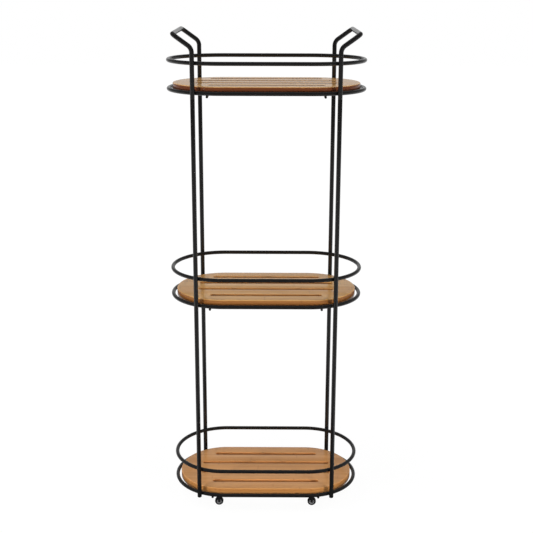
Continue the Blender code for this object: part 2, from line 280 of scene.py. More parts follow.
class Nodes:
    """A node tree and short ways to add to it."""

    def __init__(self, tree):
        self.tree = tree

    def add(self, kind, wires=None, **settings):
        """A new node with its settings made and its sockets linked or set."""
        node = self.tree.nodes.new(kind)
        for name, value in settings.items():
            setattr(node, name, value)
        for key, value in (wires or {}).items():
            if isinstance(value, bpy.types.NodeSocket):
                self.tree.links.new(value, node.inputs[key])
            else:
                node.inputs[key].default_value = value
        return node

    def math(self, operation, *values):
        return self.add("ShaderNodeMath", dict(enumerate(values)), operation=operation).outputs[0]

    def split(self, vector):
        """The X, Y and Z sockets of a vector."""
        return self.add("ShaderNodeSeparateXYZ", {0: vector}).outputs

    def ranged(self, value, low, high, to_low, to_high, smooth=False):
        """The value carried from low..high to to_low..to_high, and held there outside it."""
        wires = {0: value, 1: low, 2: high, 3: to_low, 4: to_high}
        kind = "SMOOTHSTEP" if smooth else "LINEAR"
        return self.add("ShaderNodeMapRange", wires, interpolation_type=kind).outputs[0]

    def curve(self, value, stops):
        """The value carried through a line of (value, result) stops."""
        low, high = stops[0][0], stops[-1][0]
        top = max(level for _, level in stops)
        share = self.ranged(value, low, high, 0.0, 1.0)
        curve = self.add("ShaderNodeFloatCurve", {"Value": share})
        line = curve.mapping.curves[0]
        for place, level in stops[1:-1]:
            line.points.new((place - low) / (high - low), level / top)
        line.points[0].location = (0, stops[0][1] / top)
        line.points[-1].location = (1, stops[-1][1] / top)
        for point in line.points:
            point.handle_type = "VECTOR"
        curve.mapping.update()
        return self.math("MULTIPLY", curve.outputs[0], top)

    def shader_mix(self, factor, first, second):
        return self.add("ShaderNodeMixShader", {0: factor, 1: first, 2: second}).outputs[0]

    def surface(self, output, shader):
        """Makes a shader the surface of the tree's output node."""
        self.tree.links.new(shader, self.tree.nodes[output].inputs["Surface"])


class Finish(Nodes):
    """A Principled material."""

    def __init__(self, name, **constants):
        self.material = bpy.data.materials.new(name)
        self.material.use_nodes = True
        super().__init__(self.material.node_tree)
        self.shader = self.tree.nodes["Principled BSDF"]
        for socket, value in constants.items():
            self.shader.inputs[socket.replace("_", " ")].default_value = value
        self.place = self.add("ShaderNodeTexCoord").outputs["Object"]

    def noise(self, scale, detail, roughness=0.5):
        """Noise of a scale, in waves a metre, or of one scale for each axis."""
        wires = {"Vector": self.place, "Scale": 1.0, "Detail": detail, "Roughness": roughness}
        if isinstance(scale, tuple):
            stretch = {0: self.place, 1: scale}
            stretched = self.add("ShaderNodeVectorMath", stretch, operation="MULTIPLY")
            wires["Vector"] = stretched.outputs[0]
        else:
            wires["Scale"] = scale
        return self.add("ShaderNodeTexNoise", wires).outputs["Fac"]

    def upward(self):
        """How far the surface faces up: 1 on top, 0 on a side and -1 beneath."""
        return self.split(self.add("ShaderNodeNewGeometry").outputs["Normal"])["Z"]

    def mixed(self, factor, first, second, blend="MIX"):
        """Two colours mixed. A Mix node's colours are its inputs 6 and 7 and its output 2."""
        wires = {0: factor, 6: first, 7: second}
        return self.add("ShaderNodeMix", wires, data_type="RGBA", blend_type=blend).outputs[2]

    def colour(self, value):
        self.tree.links.new(value, self.shader.inputs["Base Color"])

    def rough(self, value, low, high, roughness):
        """Roughness between a pair of limits as the value goes from low to high."""
        self.tree.links.new(self.ranged(value, low, high, *roughness), self.shader.inputs["Roughness"])

    def bump(self, height, strength, distance):
        wires = {"Height": height, "Strength": strength, "Distance": distance}
        normal = self.add("ShaderNodeBump", wires).outputs["Normal"]
        self.tree.links.new(normal, self.shader.inputs["Normal"])


# ---------------------------------------------------------------- coat, plating and plastic


# Noise scales of the finishes, in waves a metre.
GLOSS_SCALE = 9.0
PEEL_SCALE = 420.0
DUST_SCALE = 160.0
ZINC_CLOUD_SCALE = 420.0
ZINC_GRAIN_SCALE = 3000.0
PLASTIC_CLOUD_SCALE = 240.0
PLASTIC_GRAIN_SCALE = 4200.0

# The most that the lighter tone of a coat, as dust, and of a plastic, as clouds, is mixed in.
DUST_MOST = 0.30
PLASTIC_CLOUD_MOST = 0.6

ZINC_DARK = rgb(0.42, 0.43, 0.46)
ZINC_LIGHT = rgb(0.66, 0.67, 0.68)


def satin_coat(name, base, light, roughness):
    """Sprayed satin black over steel: faint orange peel, uneven gloss and a trace of dust on top."""
    finish = Finish(name, Specular_IOR_Level=0.5)
    lying = finish.ranged(finish.upward(), 0.5, 1.0, 0.0, DUST_MOST)
    dust = finish.math("MULTIPLY", lying, finish.noise(DUST_SCALE, detail=5.0))
    finish.colour(finish.mixed(dust, base, light))
    finish.rough(finish.noise(GLOSS_SCALE, detail=3.0), 0.3, 0.7, roughness)
    finish.bump(finish.noise(PEEL_SCALE, detail=1.0), strength=0.06, distance=0.02 * MM)
    return finish.material


def plated_steel(name):
    """Bright zinc over turned steel, a little cloudy."""
    finish = Finish(name, Metallic=1.0)
    cloud = finish.noise(ZINC_CLOUD_SCALE, detail=4.0)
    finish.colour(finish.mixed(cloud, ZINC_DARK, ZINC_LIGHT))
    finish.rough(cloud, 0.2, 0.8, roughness=(0.24, 0.42))
    finish.bump(finish.noise(ZINC_GRAIN_SCALE, detail=2.0), strength=0.1, distance=0.04 * MM)
    return finish.material


def moulded_plastic(name, base, light, roughness):
    """Moulded plastic, a little cloudy, with a fine spark-eroded grain."""
    finish = Finish(name, Specular_IOR_Level=0.2)
    cloud = finish.noise(PLASTIC_CLOUD_SCALE, detail=3.0)
    finish.colour(finish.mixed(finish.math("MULTIPLY", cloud, PLASTIC_CLOUD_MOST), base, light))
    finish.rough(cloud, 0.3, 0.7, roughness)
    finish.bump(finish.noise(PLASTIC_GRAIN_SCALE, detail=2.0), strength=0.2, distance=0.05 * MM)
    return finish.material


# ---------------------------------------------------------------- bamboo


# A board's glued strips and layers. Each layer's strips lie a share of their width further on, and
# the layer's number times LAYER_PICK keeps their random numbers apart from the next layer's.
STRIP = 14.0 * MM
LAYER = 6.0 * MM
LAYER_SHIFT = 0.37
LAYER_PICK = 17.3
GLUE_SHARE = 0.028

# The culm's nodes: their spacing, how many spacings a strip's random number moves them, how far
# they wander across it, and the half widths of their bands and ridges.
NODE_SPACING = 0.31
NODE_START = 7.77
NODE_WANDER = 4.0 * MM
NODE_WANDER_SCALE = 150.0
BAND_HALF_WIDTH = 4.5 * MM
RIDGE_HALF_WIDTH = 1.1 * MM

# Noise scales along, across and through a board.
FIBRE_SCALE = (12.0, 700.0, 700.0)
STREAK_SCALE = (4.0, 150.0, 150.0)
PATCH_SCALE = (5.0, 22.0, 22.0)

# The palest and deepest strips, and what each mark on them is mixed towards.
PALE_STRIP = rgb(0.58, 0.320, 0.112)
DEEP_STRIP = rgb(0.49, 0.245, 0.074)
FIBRE_TONE = rgb(0.36, 0.165, 0.042)
STREAK_TONE = rgb(0.38, 0.180, 0.048)
PATCH_TONE = rgb(0.52, 0.255, 0.078)
BAND_TONE = rgb(0.38, 0.175, 0.058)
RIDGE_TONE = rgb(0.25, 0.105, 0.032)
GLUE_TONE = rgb(0.30, 0.125, 0.035)


def bamboo_strips(finish, seed):
    """The place along a strip, a random number for each strip, and how near its glue line is."""
    x, y, z = finish.split(finish.place)
    layer = finish.math("FLOOR", finish.math("DIVIDE", z, LAYER))
    shift = finish.math("MULTIPLY", layer, LAYER_SHIFT)
    lane = finish.math("ADD", finish.math("DIVIDE", y, STRIP), shift)
    number = finish.math("FLOOR", lane)
    strip = finish.math("ADD", number, finish.math("MULTIPLY", layer, LAYER_PICK))
    pick = finish.math("ADD", strip, seed)
    random = finish.add("ShaderNodeTexWhiteNoise", {"W": pick}, noise_dimensions="1D").outputs["Value"]
    inside = finish.math("FRACT", lane)
    from_edge = finish.math("MINIMUM", inside, finish.math("SUBTRACT", 1.0, inside))
    line = finish.ranged(from_edge, 0.0, GLUE_SHARE, 1.0, 0.0, smooth=True)
    return x, random, line


def bamboo_nodes(finish, along, random):
    """The thin cross bands where the culm had its nodes, at a different place in each strip."""
    wander = finish.math("MULTIPLY", finish.noise(NODE_WANDER_SCALE, detail=2.0), NODE_WANDER)
    place = finish.math("DIVIDE", finish.math("ADD", along, wander), NODE_SPACING)
    spaced = finish.math("ADD", place, finish.math("MULTIPLY", random, NODE_START))
    away = finish.math("ABSOLUTE", finish.math("SUBTRACT", finish.math("FRACT", spaced), 0.5))
    distance = finish.math("MULTIPLY", away, NODE_SPACING)
    band = finish.ranged(distance, 0.0, BAND_HALF_WIDTH, 1.0, 0.0, smooth=True)
    ridge = finish.ranged(distance, 0.0, RIDGE_HALF_WIDTH, 1.0, 0.0, smooth=True)
    return band, ridge


def lacquered_bamboo(name, tint_and_sheen, painted_side_shade, seed):
    """Strips of bamboo glued side by side in three layers, under clear lacquer.

    The wood is multiplied by the tint on level faces, which also carries a painted sheen, and by the
    side tone, a painted shade, on upright, cut ones.
    """
    finish = Finish(name, Coat_Weight=0.8, Coat_Roughness=0.12, Coat_IOR=1.45, Specular_IOR_Level=0.15)
    along, random, line = bamboo_strips(finish, seed)
    band, ridge = bamboo_nodes(finish, along, random)
    fibre = finish.noise(FIBRE_SCALE, detail=3.0, roughness=0.6)
    streak = finish.noise(STREAK_SCALE, detail=2.0)
    patch = finish.noise(PATCH_SCALE, detail=2.0)
    # How strongly each mark shows, rising between two levels where it comes from noise, and its tone.
    marks = (
        (finish.ranged(fibre, 0.35, 0.72, 0.0, 0.26), FIBRE_TONE),
        (finish.ranged(streak, 0.44, 0.66, 0.0, 0.50), STREAK_TONE),
        (finish.ranged(patch, 0.35, 0.70, 0.0, 0.35), PATCH_TONE),
        (finish.math("MULTIPLY", band, 0.25), BAND_TONE),
        (finish.math("MULTIPLY", ridge, 0.40), RIDGE_TONE),
        (finish.math("MULTIPLY", line, 0.45), GLUE_TONE),
    )
    wood = finish.mixed(random, PALE_STRIP, DEEP_STRIP)
    for strength, mark in marks:
        wood = finish.mixed(strength, wood, mark)
    # Upright faces take the side tone, a painted shade; level faces take the tint with its painted
    # sheen.
    flat = finish.math("ABSOLUTE", finish.upward())
    upright = finish.ranged(flat, 0.3, 0.85, 1.0, 0.0, smooth=True)
    tinted_and_shaded = finish.mixed(upright, tint_and_sheen, painted_side_shade)
    finish.colour(finish.mixed(1.0, wood, tinted_and_shaded, "MULTIPLY"))
    finish.rough(fibre, 0.3, 0.7, roughness=(0.40, 0.56))
    relief = finish.math("SUBTRACT", finish.math("MULTIPLY", fibre, 0.25), line)
    finish.bump(relief, strength=0.06, distance=0.05 * MM)
    return finish.material


# ---------------------------------------------------------------- frame


TUBE_WALL = 1.0 * MM
TUBE_LIP = 0.25 * MM
ROD_END_ROUND = 0.6 * MM

# The swelling that a ring's butt weld leaves in the middle of its back.
FLASH_HEIGHT = 0.16 * MM
FLASH_HALF_LENGTH = 1.6 * MM
FLASH_STEP = FLASH_HALF_LENGTH / 4
FLASH_STEPS = 8

HANDLE_ELBOW_RADIUS = 19.0 * MM
HANDLE_CORNER_RADIUS = 12.0 * MM
HANDLE_SLOPE = math.radians(35.6)


def rod(name, path, radius, ease=ROD_END_ROUND):
    """A solid rod with its ends rounded over."""
    return skin(name, swept(eased_ends(path, radius, ease)))


def tube(name, path):
    """A hollow tube, its wall closed round at both ends."""
    outer = swept(eased_ends(path, POST_RADIUS, TUBE_LIP))
    inner = swept([(point, POST_RADIUS - TUBE_WALL) for point in path])
    return skin(name, outer + inner[::-1], wrap=True)


def ring_outline():
    """The ring's line, with close points around the butt weld in the middle of its back."""
    right = arc((RING_END, 0), RING_Y, -QUARTER, QUARTER, BEND_STEPS)
    left = arc((-RING_END, 0), RING_Y, QUARTER, 3 * QUARTER, BEND_STEPS)
    seam = [(FLASH_STEP * i, RING_Y) for i in range(FLASH_STEPS, -FLASH_STEPS - 1, -1)]
    return right + seam + left


def ring_rod(name, height):
    """A closed ring of rod, with the slight swelling of its butt weld in the middle of the back."""
    stops = []
    for x, y in ring_outline():
        swell = math.exp(-((x / FLASH_HALF_LENGTH) ** 2)) if y > 0 else 0.0
        stops.append((Vector((x, y, height)), ROD_RADIUS + FLASH_HEIGHT * swell))
    return skin(name, swept(stops, closed=True), wrap=True)


def make_rings(coat):
    for tier in TIERS:
        for kind in ("tray_ring", "guard_ring"):
            node = f"{tier}_{kind}"
            mesh = ring_rod(f"{node}_rod", middle(node).z)
            piece(f"{node}_rod", mesh, coat, "cart_frame", "black_frame", node)


def make_cross_rods(coat):
    for tier in TIERS:
        for side in SIDES:
            node = f"{tier}_cross_rod_{side}"
            mesh = rod(f"{node}_bar", middle_line(node, ALONG_Y), CROSS_RADIUS)
            piece(f"{node}_bar", mesh, coat, "cart_frame", "black_frame", node)


def make_posts(coat):
    for corner in CORNERS:
        for kind in ("middle_post", "lower_post"):
            node = f"{kind}_{corner}"
            mesh = tube(f"{node}_tube", middle_line(node, ALONG_Z)[::-1])
            piece(f"{node}_tube", mesh, coat, "cart_frame", "black_frame", node)


def make_handles(coat):
    """Each handle is one bent tube, up a post, out, across and down the other post."""
    for side, sign in (("left", -1), ("right", 1)):
        node = f"{side}_handle_frame"
        low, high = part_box(node)
        post = middle(f"middle_post_rear_{side}")
        bar_x = sign * (max(abs(low.x), abs(high.x)) - POST_RADIUS)
        bar_z = high.z - POST_RADIUS
        elbow_z = bar_z - abs(bar_x - post.x) * math.tan(HANDLE_SLOPE)
        rising = [(post.x, low.z), (post.x, elbow_z), (bar_x, bar_z)]
        corners = [(x, -post.y, z) for x, z in rising] + [(x, post.y, z) for x, z in reversed(rising)]
        radii = (HANDLE_ELBOW_RADIUS, HANDLE_CORNER_RADIUS, HANDLE_CORNER_RADIUS, HANDLE_ELBOW_RADIUS)
        mesh = tube(f"{side}_handle_tube", rounded_path(corners, radii))
        piece(f"{side}_handle_tube", mesh, coat, "cart_frame", "black_frame", node)


# ---------------------------------------------------------------- welds


# A bead's cross section, its unevenness as shares of its radius, and how far it tapers off.
BEAD_SIDES = 14
BEAD_STEPS = 26
BEAD_SHARP = 80
BEAD_RIPPLE = 0.09
RIPPLE_PITCH = 0.9 * MM
BEAD_LUMP = 0.18
LUMP_SCALE = 700
BEAD_TAPER = 0.985

# The beads above and below each ring where it touches a post. The lift is a share of the radius.
RING_BEAD_REACH = 3.4 * MM
RING_BEAD_RADIUS = 1.15 * MM
RING_BEAD_LIFT = 0.72
RING_BEAD_SINK = 0.1 * MM
RING_BEAD_BOW = 0.9 * MM

# The two beads at each end of a cross rod: how far outside the ring's line and above its underside
# they lie, how far their ends bow up, and their half length and radius.
ROD_BEADS = (
    (-2.9 * MM, 0.5 * MM, -0.7 * MM, 2.6 * MM, 0.9 * MM),
    (0.4 * MM, -0.6 * MM, 0.2 * MM, 2.2 * MM, 0.7 * MM),
)

# The two beads over each caster socket, either side of its cross rod.
SOCKET_BEAD_ASIDE = 2.2 * MM
SOCKET_BEAD_ABOVE = 0.5 * MM
SOCKET_BEAD_REACH = 4.2 * MM
SOCKET_BEAD_RADIUS = 0.9 * MM


def bead(centre, along, bow, reach, radius):
    """A rippled weld bead along a line, its ends bowed by a vector."""
    centre, along, bow = Vector(centre), Vector(along).normalized(), Vector(bow)
    stops = []
    for i in range(BEAD_STEPS + 1):
        share = -1 + 2 * i / BEAD_STEPS
        place = centre + along * reach * share + bow * share * share
        lump = noise.noise(place * LUMP_SCALE) * BEAD_LUMP
        ripple = BEAD_RIPPLE * math.cos(2 * math.pi * reach * share / RIPPLE_PITCH)
        taper = math.sqrt(1 - share * share * BEAD_TAPER)
        stops.append((place, radius * taper * (1 + ripple + lump)))
    return skin("bead", swept(stops, sides=BEAD_SIDES), sharp=BEAD_SHARP)


def post_contacts():
    """Where each post touches a ring: the point on the rod's line, outwards and along directions."""
    contacts = []
    for corner in CORNERS:
        post = middle(f"lower_post_{corner}")
        end = Vector((math.copysign(RING_END, post.x), 0, 0))
        outward = (Vector((post.x, post.y, 0)) - end).normalized()
        contacts.append((end + outward * RING_Y, outward, outward.cross(Vector((0, 0, 1)))))
    return contacts


def make_ring_welds(coat):
    for tier in TIERS:
        beads = []
        for kind in ("tray_ring", "guard_ring"):
            level = middle(f"{tier}_{kind}").z
            for place, outward, along in post_contacts():
                for above in (-1, 1):
                    lift = Vector((0, 0, level + above * (ROD_RADIUS * RING_BEAD_LIFT)))
                    centre = place + outward * (ROD_RADIUS - RING_BEAD_SINK) + lift
                    bow = outward * RING_BEAD_BOW
                    beads.append(bead(centre, along, bow, RING_BEAD_REACH, RING_BEAD_RADIUS))
        mesh = joined(f"{tier}_ring_welds", beads)
        piece(f"{tier}_ring_welds", mesh, coat, "cart_frame", "black_frame")


def make_rod_welds(coat):
    """The beads that hold the cross rods under their ring, on the inner side and at the end."""
    for tier in TIERS:
        beads = []
        underside = middle(f"{tier}_tray_ring").z - ROD_RADIUS
        for side in SIDES:
            x = middle(f"{tier}_cross_rod_{side}").x
            lean = (abs(x) - RING_END) / RING_Y
            y = RING_Y * math.sqrt(1 - lean * lean)
            for front in (-1, 1):
                along = Vector((1, -math.copysign(lean, x) * front, 0))
                for outside, above, bow, reach, radius in ROD_BEADS:
                    place = Vector((x, front * (y + outside), underside + above))
                    beads.append(bead(place, along, (0, 0, bow), reach, radius))
        mesh = joined(f"{tier}_rod_welds", beads)
        piece(f"{tier}_rod_welds", mesh, coat, "cart_frame", "black_frame")


def make_socket_welds(coat):
    for corner in CORNERS:
        x, y, top = middle_line(f"caster_socket_{corner}", ALONG_Z)[1]
        beads = []
        for side in (-1, 1):
            place = (x + side * SOCKET_BEAD_ASIDE, y, top + SOCKET_BEAD_ABOVE)
            beads.append(bead(place, (0, 1, 0), (0, 0, 0), SOCKET_BEAD_REACH, SOCKET_BEAD_RADIUS))
        mesh = joined(f"socket_welds_{corner}", beads)
        piece(f"socket_welds_{corner}", mesh, coat, "cart_frame", "black_frame")


# ---------------------------------------------------------------- boards


EDGE_ROUND = 2.5 * MM
EDGE_STEPS = 6
BOARD_SHARP = 50
SLOT_ROUND = 0.5 * MM
SLOT_WIDTH = 12.0 * MM
SLOT_PITCH = 48.0 * MM
SLOT_END_STEPS = 16
LONG_SLOT = 320.0 * MM
SHORT_SLOT = 260.0 * MM


def rounding(round_over):
    """(inset, height) points from a board's top face over the edge to its bottom face."""
    turns = [QUARTER * i / EDGE_STEPS for i in range(EDGE_STEPS + 1)]
    top = [
        (round_over * (1 - math.sin(turn)), BOARD.z - round_over * (1 - math.cos(turn)))
        for turn in turns
    ]
    return top + [(inset, -height) for inset, height in reversed(top)]


def edge_band(work, half_length, radius, offset, round_over, steps, inward):
    """The side surface round one outline of a board; returns its top and bottom loops of edges."""
    loops = []
    for inset, height in rounding(round_over):
        shift = -inset if inward else inset
        outline = stadium(half_length + shift, radius + shift, steps)
        loops.append([work.verts.new((x, y + offset, height)) for x, y in outline])
    count = len(loops[0])
    for upper, lower in zip(loops, loops[1:]):
        for i in range(count):
            j = (i + 1) % count
            work.faces.new((upper[i], upper[j], lower[j], lower[i]))
    ends = []
    for loop in (loops[0], loops[-1]):
        ends.append([work.edges.get((loop[i], loop[(i + 1) % count])) for i in range(count)])
    return ends


def slot_rows():
    """The offset and half length of each slot; the middle two are the long ones."""
    for row in (-1.5, -0.5, 0.5, 1.5):
        yield row * SLOT_PITCH, (LONG_SLOT if abs(row) < 1 else SHORT_SLOT) / 2


def board_mesh(name, centre):
    """A board with rounded edges and four rounded slots; its rim takes the second material."""
    work = bmesh.new()
    top, bottom = edge_band(work, BOARD.x, BOARD.y, 0, EDGE_ROUND, BEND_STEPS, inward=True)
    for face in work.faces:
        face.material_index = 1
    for offset, half_length in slot_rows():
        slot = (half_length, SLOT_WIDTH / 2, offset, SLOT_ROUND, SLOT_END_STEPS)
        slot_top, slot_bottom = edge_band(work, *slot, inward=False)
        top += slot_top
        bottom += slot_bottom
    for edges in (top, bottom):
        bmesh.ops.triangle_fill(work, edges=edges, use_beauty=True, use_dissolve=False)
    bmesh.ops.translate(work, verts=work.verts, vec=centre)
    mesh = bpy.data.meshes.new(name)
    work.to_mesh(mesh)
    work.free()
    return settle(mesh, BOARD_SHARP)


def make_boards(woods):
    for tier in TIERS:
        node = f"{tier}_board"
        mesh = board_mesh(f"{node}_bamboo", middle(node))
        face_wood, rim_wood = woods[tier]
        piece(f"{node}_bamboo", mesh, face_wood, f"{tier}_shelf", "bamboo", node)
        mesh.materials.append(rim_wood)


# ---------------------------------------------------------------- plugs, spigots, sockets and pins


PLUG_TIP = 0.03 * MM
PLUG_STEM = 3.3 * MM
PLUG_CHAMFER = 0.4 * MM
PLUG_GAP = 0.3 * MM
PLUG_EDGE = 0.15 * MM

SPIGOT_EASE = 0.8 * MM

SOCKET_LIP = 0.35 * MM
SOCKET_LIP_CUT = 0.3 * SOCKET_LIP
SOCKET_BORE = 3.3 * MM
SOCKET_BORE_DEPTH = 5.1 * MM
SOCKET_EDGE_STEPS = 5

PIN_SHANK = 3.0 * MM
PIN_CHAMFER = 0.4 * MM
PIN_HEAD = 2.5 * MM
PIN_HEAD_EDGE = 0.5 * MM


def make_plugs(plastic):
    """A stem up the post's bore, and a domed cap just below the post's end."""
    for corner in CORNERS:
        node = f"foot_plug_{corner}"
        foot = middle_line(node, ALONG_Z)[0]
        top = 2 * half_size(node).z
        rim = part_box(f"lower_post_{corner}")[0].z - foot.z - PLUG_GAP
        edge = rim - PLUG_EDGE
        profile = [
            (PLUG_TIP, top),
            (PLUG_STEM - PLUG_CHAMFER, top),
            (PLUG_STEM, top - PLUG_CHAMFER),
            (PLUG_STEM, rim),
            (POST_RADIUS - PLUG_EDGE, rim),
            (POST_RADIUS, edge),
            *[(radius, edge - drop) for radius, drop in dome(POST_RADIUS, edge)],
        ]
        mesh = turned(f"{node}_cap", profile, foot)
        piece(f"{node}_cap", mesh, plastic, "cart_frame", "plug_plastic", node)


def make_spigots(steel):
    for corner in CORNERS:
        for kind in ("upper_spigot", "lower_spigot"):
            node = f"{kind}_{corner}"
            mesh = rod(f"{node}_pin", middle_line(node, ALONG_Z), half_size(node).x, SPIGOT_EASE)
            piece(f"{node}_pin", mesh, steel, "cart_frame", "zinc_steel", node)


def make_sockets(coat):
    """A boss rounded over at the top, with a blind bore from below for the king pin."""
    for corner in CORNERS:
        node = f"caster_socket_{corner}"
        radius, half = half_size(node).x, half_size(node).z
        lip, shoulder = SOCKET_LIP, 2 * SOCKET_LIP
        profile = [
            (TIP_RADIUS, half),
            *arc((radius - shoulder, half - shoulder), shoulder, QUARTER, 0, SOCKET_EDGE_STEPS),
            (radius, -half + lip),
            (radius - SOCKET_LIP_CUT, -half + SOCKET_LIP_CUT),
            (radius - lip, -half),
            (SOCKET_BORE + lip, -half),
            (SOCKET_BORE, -half + lip),
            (SOCKET_BORE, -half + SOCKET_BORE_DEPTH),
            (TIP_RADIUS, -half + SOCKET_BORE_DEPTH),
        ]
        mesh = turned(f"{node}_boss", profile, middle(node))
        piece(f"{node}_boss", mesh, coat, "cart_frame", "black_frame", node)


def make_king_pins(steel):
    """A chamfered shank over a domed head."""
    for corner in CORNERS:
        node = f"king_pin_{corner}"
        head, half = half_size(node).x, half_size(node).z
        head_top = -half + PIN_HEAD
        edge = head_top - PIN_HEAD_EDGE
        profile = [
            (TIP_RADIUS, half),
            (PIN_SHANK - PIN_CHAMFER, half),
            (PIN_SHANK, half - PIN_CHAMFER),
            (PIN_SHANK, head_top),
            (head, head_top),
            (head, edge),
            *[(radius, edge - drop) for radius, drop in dome(head, PIN_HEAD - PIN_HEAD_EDGE)],
        ]
        mesh = turned(f"{node}_rivet", profile, middle(node))
        piece(f"{node}_rivet", mesh, steel, "cart_frame", "zinc_steel", node)


# ---------------------------------------------------------------- casters


FORK_SHEET = 1.2 * MM
CROWN_CORNER = 1.0 * MM
CROWN_HOLE = 3.3 * MM
LEG_HOLE = 1.6 * MM
LEG_END_RADIUS = 2.6 * MM
LEG_TOP_HALF = 3.1 * MM
FORK_END_STEPS = 24
FORK_HOLE_STEPS = 32
FORK_SHARP = 40
MERGE_DISTANCE = 0.005 * MM

AXLE_SHANK = 1.25 * MM
AXLE_HEAD = 0.8 * MM
AXLE_DOME = 0.7 * AXLE_HEAD
AXLE_STEPS = 40

WHEEL_BORE = 1.6 * MM
WHEEL_HUB = 3.3 * MM
WHEEL_WEB = 5.6 * MM
WEB_RECESS = 1.2 * MM
TREAD_EDGE = 1.5 * MM
TREAD_EDGE_STEPS = 8
HUB_EASE = 0.2 * MM
HUB_SLOPE = 0.3 * MM
RIM_EASE = 0.5 * MM
DISC_RADIUS = 6.6 * MM


def plate(name, outline, hole):
    """A flat piece of the fork's sheet in XY, centred on z = 0, with a round hole at the origin."""
    curve = bpy.data.curves.new(name, "CURVE")
    curve.dimensions = "2D"
    curve.fill_mode = "BOTH"
    curve.extrude = FORK_SHEET / 2
    for loop in (outline, arc((0, 0), hole, 0, 2 * math.pi, FORK_HOLE_STEPS)[:-1]):
        spline = curve.splines.new("POLY")
        spline.points.add(len(loop) - 1)
        for target, (x, y) in zip(spline.points, loop):
            target.co = (x, y, 0, 1)
        spline.use_cyclic_u = True
    return evaluated(placed(name, curve))


def evaluated(blank):
    """The mesh of an object with its modifiers applied and close points merged.

    The object itself is removed.
    """
    bpy.context.view_layer.update()
    graph = bpy.context.evaluated_depsgraph_get()
    mesh = bpy.data.meshes.new_from_object(blank.evaluated_get(graph))
    bpy.data.objects.remove(blank)
    work = bmesh.new()
    work.from_mesh(mesh)
    bmesh.ops.remove_doubles(work, verts=work.verts, dist=MERGE_DISTANCE)
    work.to_mesh(mesh)
    work.free()
    return mesh


def pressing(crown, walls):
    """The fork's plates as one solid."""
    base = placed("fork_base", crown)
    tools = [placed("fork_tool", wall) for wall in walls]
    for tool in tools:
        union = base.modifiers.new("union", "BOOLEAN")
        union.operation = "UNION"
        union.solver = "EXACT"
        union.object = tool
    mesh = evaluated(base)
    for tool in tools:
        bpy.data.objects.remove(tool)
    return mesh


def fork_mesh(name, node, corner):
    """A pressed fork: the crown over the wheel, and two tapering legs under its sides."""
    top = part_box(node)[1].z
    half_width = half_size(node).y
    swivel = middle(f"king_pin_{corner}")
    wheel = middle(f"caster_wheel_{corner}")
    trail = wheel.x - swivel.x
    inner = abs(trail) + LEG_TOP_HALF
    crown = arc((0, 0), half_width, QUARTER, 3 * QUARTER, FORK_END_STEPS)
    crown += [(inner - CROWN_CORNER, -half_width), (inner, -half_width + CROWN_CORNER)]
    crown += [(inner, half_width - CROWN_CORNER), (inner - CROWN_CORNER, half_width)]
    roof = plate("crown", crown, CROWN_HOLE)
    roof.transform(Matrix.Translation((0, 0, top - FORK_SHEET / 2)))
    rise = top - FORK_SHEET / 2 - wheel.z
    leg_end = arc((0, 0), LEG_END_RADIUS, math.pi, 2 * math.pi, FORK_END_STEPS)
    leg = [(LEG_TOP_HALF, rise), (-LEG_TOP_HALF, rise), *leg_end]
    walls = []
    for side in (-1, 1):
        wall = plate("leg", leg, LEG_HOLE)
        wall.transform(Matrix.Rotation(QUARTER, 4, "X"))
        place = (abs(trail), side * (half_width - FORK_SHEET / 2), wheel.z)
        wall.transform(Matrix.Translation(place))
        walls.append(wall)
    mesh = pressing(roof, walls)
    turn = Matrix.Rotation(0 if trail > 0 else math.pi, 4, "Z")
    mesh.transform(Matrix.Translation((swivel.x, swivel.y, 0)) @ turn)
    mesh.name = name
    return settle(mesh, FORK_SHARP)


def make_forks(metal):
    for corner in CORNERS:
        node = f"caster_fork_{corner}"
        mesh = fork_mesh(f"{node}_pressing", node, corner)
        piece(f"{node}_pressing", mesh, metal, f"swivel_{corner}", "caster_steel", node)


def make_axles(metal):
    """A rivet with a low domed head at each end, coated with its fork."""
    for corner in CORNERS:
        node = f"caster_axle_{corner}"
        head, half = half_size(node).x, half_size(node).y
        under_head = half - AXLE_HEAD
        edge = half - AXLE_DOME
        side = [(AXLE_SHANK, under_head), (head, under_head), (head, edge)]
        side += dome(head, AXLE_DOME, edge)
        profile = [(radius, -height) for radius, height in reversed(side)] + side
        mesh = turned(f"{node}_rivet", profile, middle(node), "Y", AXLE_STEPS)
        piece(f"{node}_rivet", mesh, metal, f"swivel_{corner}", "zinc_steel", node)


def wheel_profile(radius, half):
    """The wheel's section as a closed loop: bore, hub, recessed web, rim and crowned tread."""
    tread = arc((radius - TREAD_EDGE, half - TREAD_EDGE), TREAD_EDGE, QUARTER, 0, TREAD_EDGE_STEPS)
    upper = [
        (WHEEL_BORE, half - HUB_EASE),
        (WHEEL_BORE + HUB_EASE, half),
        (WHEEL_HUB - HUB_EASE, half),
        (WHEEL_HUB, half - HUB_EASE),
        (WHEEL_HUB + HUB_SLOPE, half - WEB_RECESS),
        (WHEEL_WEB - HUB_SLOPE, half - WEB_RECESS),
        (WHEEL_WEB, half - WEB_RECESS / 2),
        (WHEEL_WEB + RIM_EASE, half),
        *tread,
    ]
    lower = [(r, -h) for r, h in reversed(upper)]
    return upper + lower


def make_wheels(plastic, disc):
    """The wheels; the hub and web inside each rim take the lighter disc material."""
    for corner in CORNERS:
        node = f"caster_wheel_{corner}"
        centre, size = middle(node), half_size(node)
        mesh = turned(f"{node}_tread", wheel_profile(size.z, size.y), centre, "Y", wrap=True)
        piece(f"{node}_tread", mesh, plastic, f"wheel_{corner}", "wheel_plastic", node)
        mesh.materials.append(disc)
        for face in mesh.polygons:
            away = face.center - centre
            if math.hypot(away.x, away.z) < DISC_RADIUS:
                face.material_index = 1


# ---------------------------------------------------------------- floor and world


FLOOR_HALF = 12.0
PAPER_TONE = rgb(0.6, 0.6, 0.6)
PAPER_GLOW = 1.03

# How white the floor looks: a little less out to the first distance, and fully past the second.
SHADED = 0.93
SHADED_TO = 0.25
WHITE_FROM = 1.2
